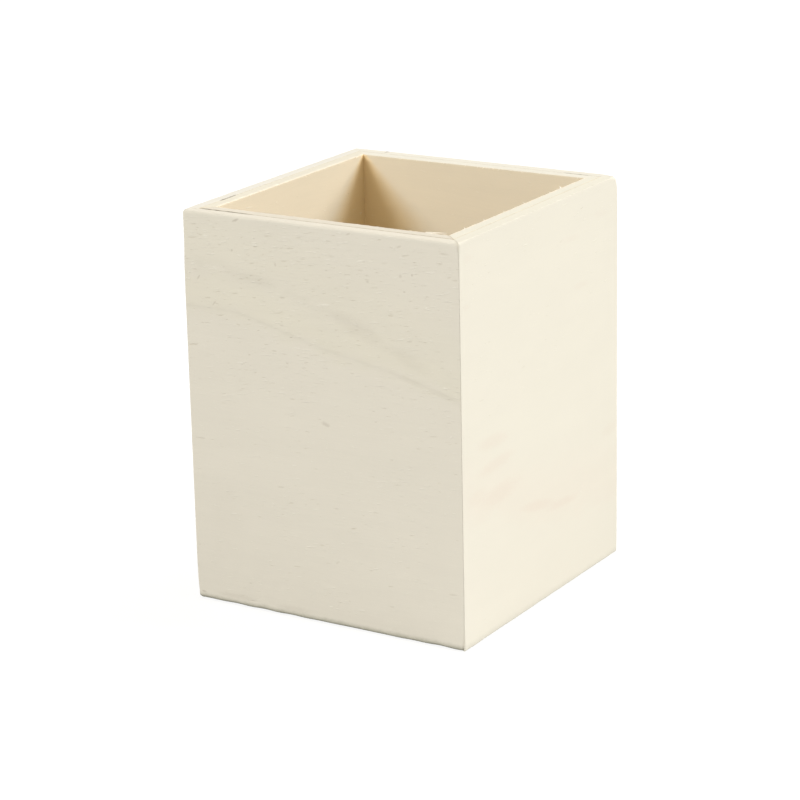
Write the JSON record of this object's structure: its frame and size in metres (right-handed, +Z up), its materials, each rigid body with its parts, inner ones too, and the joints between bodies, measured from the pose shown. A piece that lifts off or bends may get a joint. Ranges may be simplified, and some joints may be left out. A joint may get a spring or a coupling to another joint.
{
  "type": "pen holder",
  "caption": "Upright open-topped box of pale plywood with mitred corners and double-leaf walls, for standing pens and pencils on a desk.",
  "frame": {"origin": "middle of the underside, on the surface that the box stands on", "axes": "+Z up to the open rim, +X to the right side, the front faces -Y"},
  "size_m": [0.078, 0.08, 0.101],
  "materials": {
    "outside_wood": "bare, sanded smooth",
    "inside_wood": "bare, sawn and lightly sanded",
    "base_wood": "bare, lightly sanded"
  },
  "bodies": {
    "root": {"front_outer_leaf": "outside_wood", "front_inner_leaf": "inside_wood", "right_outer_leaf": "outside_wood", "right_inner_leaf": "inside_wood", "back_outer_leaf": "outside_wood", "back_inner_leaf": "inside_wood", "left_outer_leaf": "outside_wood", "left_inner_leaf": "inside_wood", "base_lower_leaf": "base_wood", "base_upper_leaf": "base_wood"}
  },
  "joints": []
}
